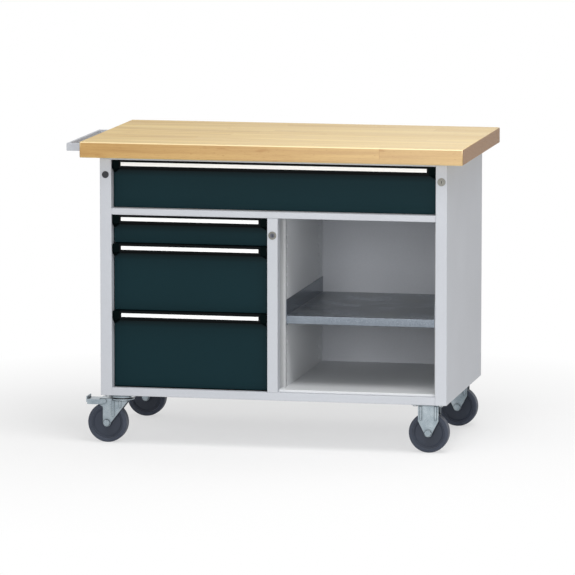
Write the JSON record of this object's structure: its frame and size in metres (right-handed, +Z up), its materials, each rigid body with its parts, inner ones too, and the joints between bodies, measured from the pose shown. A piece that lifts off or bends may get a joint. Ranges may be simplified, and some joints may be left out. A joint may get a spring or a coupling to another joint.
{
  "type": "mobile workbench with drawers",
  "caption": "Mobile sheet-steel workbench with a solid beech top, lockable sliding drawers, an open compartment with a shelf, a push handle and braked swivel casters.",
  "frame": {"origin": "on the floor, below the middle of the bounding box", "axes": "+X to the right as seen from the front, with the push handle at -X; the drawer fronts face -Y; +Z up"},
  "size_m": [1.275, 0.7, 0.95],
  "materials": {
    "beech": "oiled",
    "grey_paint": "fine textured powder coat",
    "front_paint": "fine textured powder coat",
    "shelf_steel": "galvanised, matt",
    "runner_steel": "zinc plated",
    "zinc_plate": "zinc plated",
    "lock_metal": "nickel plated",
    "black_plastic": "moulded",
    "rail_black": "black anodised",
    "label_white": "smooth",
    "wheel_rubber": "matt"
  },
  "bodies": {
    "cabinet": {"worktop": "beech", "worktop_screws": "zinc_plate", "left_side_wall": "grey_paint", "right_side_wall": "grey_paint", "back_panel": "grey_paint", "base_pan": "grey_paint", "compartment_floor": "grey_paint", "middle_panel": "grey_paint", "divider_wall": "grey_paint", "right_inner_wall": "grey_paint", "centre_post": "grey_paint", "top_rails": "grey_paint", "runner_uprights": "grey_paint", "shelf": "shelf_steel", "shelf_clips": "shelf_steel", "push_handle": "grey_paint", "outer_runners": "runner_steel", "lock_housings": "lock_metal", "blanking_plug": "black_plastic", "swivel_plates": "zinc_plate", "caster_bolts": "zinc_plate", "fixed_forks": "zinc_plate"},
    "top_drawer": {"top_drawer_box": "grey_paint", "top_drawer_front": "front_paint", "top_grip_rail": "rail_black", "top_label_strip": "label_white", "top_end_caps": "black_plastic", "top_inner_runners": "runner_steel"},
    "small_drawer": {"small_drawer_box": "grey_paint", "small_drawer_front": "front_paint", "small_grip_rail": "rail_black", "small_label_strip": "label_white", "small_end_caps": "black_plastic", "small_inner_runners": "runner_steel"},
    "medium_drawer": {"medium_drawer_box": "grey_paint", "medium_drawer_front": "front_paint", "medium_grip_rail": "rail_black", "medium_label_strip": "label_white", "medium_end_caps": "black_plastic", "medium_inner_runners": "runner_steel"},
    "large_drawer": {"large_drawer_box": "grey_paint", "large_drawer_front": "front_paint", "large_grip_rail": "rail_black", "large_label_strip": "label_white", "large_end_caps": "black_plastic", "large_inner_runners": "runner_steel"},
    "top_middle_runners": {"top_middle_runners": "runner_steel"},
    "small_middle_runners": {"small_middle_runners": "runner_steel"},
    "medium_middle_runners": {"medium_middle_runners": "runner_steel"},
    "large_middle_runners": {"large_middle_runners": "runner_steel"},
    "right_lock": {"right_lock_plug": "lock_metal"},
    "centre_lock": {"centre_lock_plug": "lock_metal"},
    "front_swivel": {"front_swivel_fork": "zinc_plate"},
    "rear_swivel": {"rear_swivel_fork": "zinc_plate"},
    "front_pedal": {"front_brake_pedal": "zinc_plate"},
    "rear_pedal": {"rear_brake_pedal": "zinc_plate"},
    "front_left": {"front_left_wheel": "wheel_rubber"},
    "front_right": {"front_right_wheel": "wheel_rubber"},
    "rear_left": {"rear_left_wheel": "wheel_rubber"},
    "rear_right": {"rear_right_wheel": "wheel_rubber"}
  },
  "joints": [
    {"name": "top_drawer_slide", "type": "slide", "parent": "cabinet", "child": "top_drawer", "axis": [0, -1, 0], "range_m": [0, 0.57]},
    {"name": "small_drawer_slide", "type": "slide", "parent": "cabinet", "child": "small_drawer", "axis": [0, -1, 0], "range_m": [0, 0.57]},
    {"name": "medium_drawer_slide", "type": "slide", "parent": "cabinet", "child": "medium_drawer", "axis": [0, -1, 0], "range_m": [0, 0.57]},
    {"name": "large_drawer_slide", "type": "slide", "parent": "cabinet", "child": "large_drawer", "axis": [0, -1, 0], "range_m": [0, 0.57]},
    {"name": "top_runner_slide", "type": "slide", "parent": "cabinet", "child": "top_middle_runners", "axis": [0, -1, 0], "range_m": [0, 0.285]},
    {"name": "small_runner_slide", "type": "slide", "parent": "cabinet", "child": "small_middle_runners", "axis": [0, -1, 0], "range_m": [0, 0.285]},
    {"name": "medium_runner_slide", "type": "slide", "parent": "cabinet", "child": "medium_middle_runners", "axis": [0, -1, 0], "range_m": [0, 0.285]},
    {"name": "large_runner_slide", "type": "slide", "parent": "cabinet", "child": "large_middle_runners", "axis": [0, -1, 0], "range_m": [0, 0.285]},
    {"name": "right_lock_turn", "type": "hinge", "parent": "cabinet", "child": "right_lock", "pos_m": [0.5645, -0.31, 0.845], "axis": [0, 1, 0], "range_deg": [0, 90]},
    {"name": "centre_lock_turn", "type": "hinge", "parent": "cabinet", "child": "centre_lock", "pos_m": [0.0375, -0.31, 0.668], "axis": [0, 1, 0], "range_deg": [0, 90]},
    {"name": "front_caster_swivel", "type": "hinge", "parent": "cabinet", "child": "front_swivel", "pos_m": [-0.4525, -0.25, 0.14], "axis": [0, 0, 1], "continuous": true},
    {"name": "rear_caster_swivel", "type": "hinge", "parent": "cabinet", "child": "rear_swivel", "pos_m": [-0.4525, 0.28, 0.14], "axis": [0, 0, 1], "continuous": true},
    {"name": "front_pedal_press", "type": "hinge", "parent": "front_swivel", "child": "front_pedal", "pos_m": [-0.5055, -0.25, 0.131], "axis": [0, -1, 0], "range_deg": [0, 12]},
    {"name": "rear_pedal_press", "type": "hinge", "parent": "rear_swivel", "child": "rear_pedal", "pos_m": [-0.5055, 0.28, 0.131], "axis": [0, -1, 0], "range_deg": [0, 12]},
    {"name": "front_left_wheel_spin", "type": "hinge", "parent": "front_swivel", "child": "front_left", "pos_m": [-0.4975, -0.25, 0.0625], "axis": [0, 1, 0], "continuous": true},
    {"name": "front_right_wheel_spin", "type": "hinge", "parent": "cabinet", "child": "front_right", "pos_m": [0.5195, -0.25, 0.0625], "axis": [0, 1, 0], "continuous": true},
    {"name": "rear_left_wheel_spin", "type": "hinge", "parent": "rear_swivel", "child": "rear_left", "pos_m": [-0.4975, 0.28, 0.0625], "axis": [0, 1, 0], "continuous": true},
    {"name": "rear_right_wheel_spin", "type": "hinge", "parent": "cabinet", "child": "rear_right", "pos_m": [0.5195, 0.28, 0.0625], "axis": [0, 1, 0], "continuous": true}
  ],
  "couplings": [
    {"joint": "top_runner_slide", "follows": "top_drawer_slide", "ratio": 0.5},
    {"joint": "small_runner_slide", "follows": "small_drawer_slide", "ratio": 0.5},
    {"joint": "medium_runner_slide", "follows": "medium_drawer_slide", "ratio": 0.5},
    {"joint": "large_runner_slide", "follows": "large_drawer_slide", "ratio": 0.5}
  ]
}
